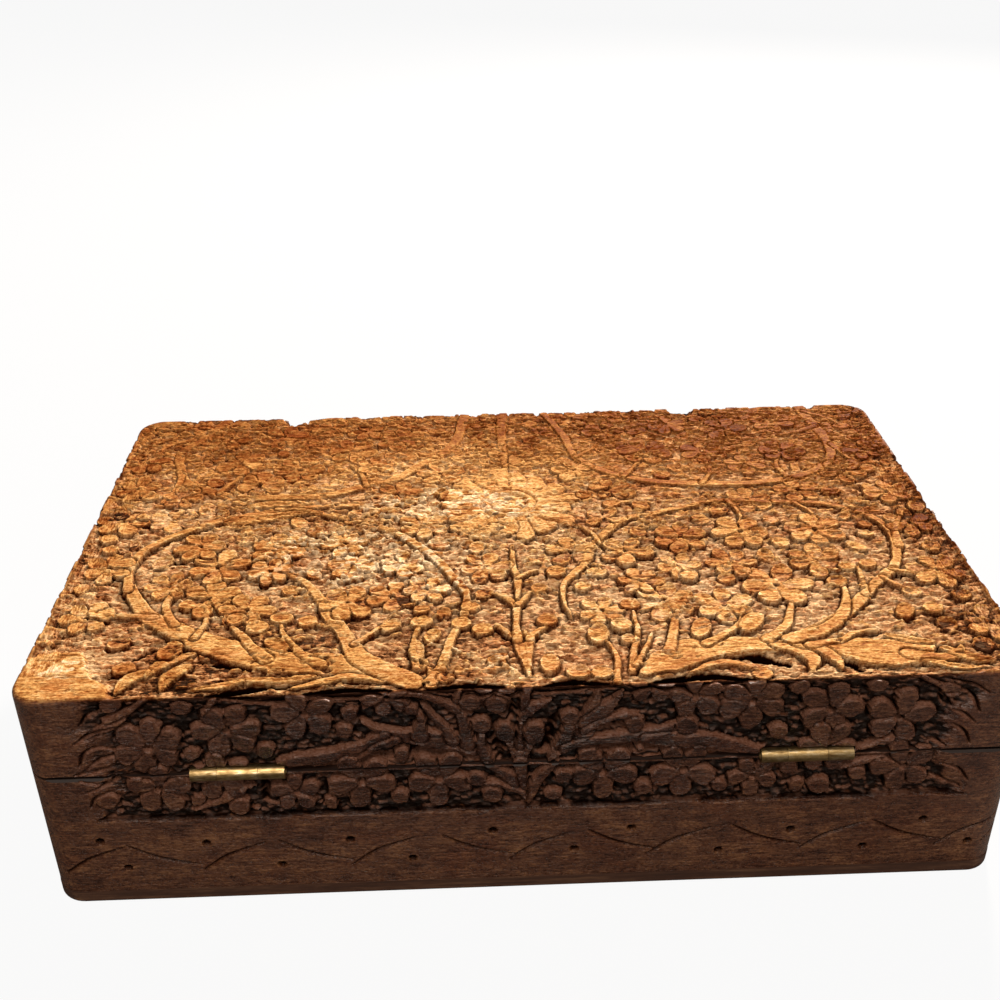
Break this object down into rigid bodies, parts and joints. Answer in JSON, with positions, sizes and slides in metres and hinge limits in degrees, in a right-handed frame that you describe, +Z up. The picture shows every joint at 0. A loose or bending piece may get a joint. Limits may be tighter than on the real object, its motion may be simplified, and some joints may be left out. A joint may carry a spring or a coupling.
{
  "type": "keepsake box",
  "caption": "Rectangular wooden keepsake box with relief-carved floral lid and sides, a lift-up lid and brass butt hinges along its back edge.",
  "frame": {"origin": "middle of the underside, on the surface the box stands on", "axes": "+X along the box, +Y from the opening side towards the hinges, +Z up"},
  "size_m": [0.254, 0.1561, 0.0683],
  "materials": {
    "golden_rosewood": "hand-carved, waxed and worn to a golden brown",
    "dark_rosewood": "hand-carved, dark stained and waxed",
    "plain_rosewood": "planed and waxed",
    "aged_brass": "tumbled brass, rubbed and tarnished",
    "brass_screws": "slotted, dull",
    "steel_nails": "dull steel nail heads"
  },
  "bodies": {
    "base": {"base_front_board": "dark_rosewood", "base_back_board": "dark_rosewood", "base_left_board": "dark_rosewood", "base_right_board": "dark_rosewood", "bottom_board": "plain_rosewood", "bottom_nails": "steel_nails", "left_hinge_base_leaf": "aged_brass", "left_hinge_pin": "aged_brass", "left_hinge_base_screws": "brass_screws", "right_hinge_base_leaf": "aged_brass", "right_hinge_pin": "aged_brass", "right_hinge_base_screws": "brass_screws"},
    "lid": {"lid_front_board": "dark_rosewood", "lid_back_board": "dark_rosewood", "lid_left_board": "dark_rosewood", "lid_right_board": "dark_rosewood", "lid_panel": "golden_rosewood", "left_hinge_lid_leaf": "aged_brass", "left_hinge_lid_screws": "brass_screws", "right_hinge_lid_leaf": "aged_brass", "right_hinge_lid_screws": "brass_screws"}
  },
  "joints": [
    {"name": "lid_hinge", "type": "hinge", "parent": "base", "child": "lid", "pos_m": [0, 0.0767, 0.0433], "axis": [-1, 0, 0], "range_deg": [0, 100]}
  ]
}
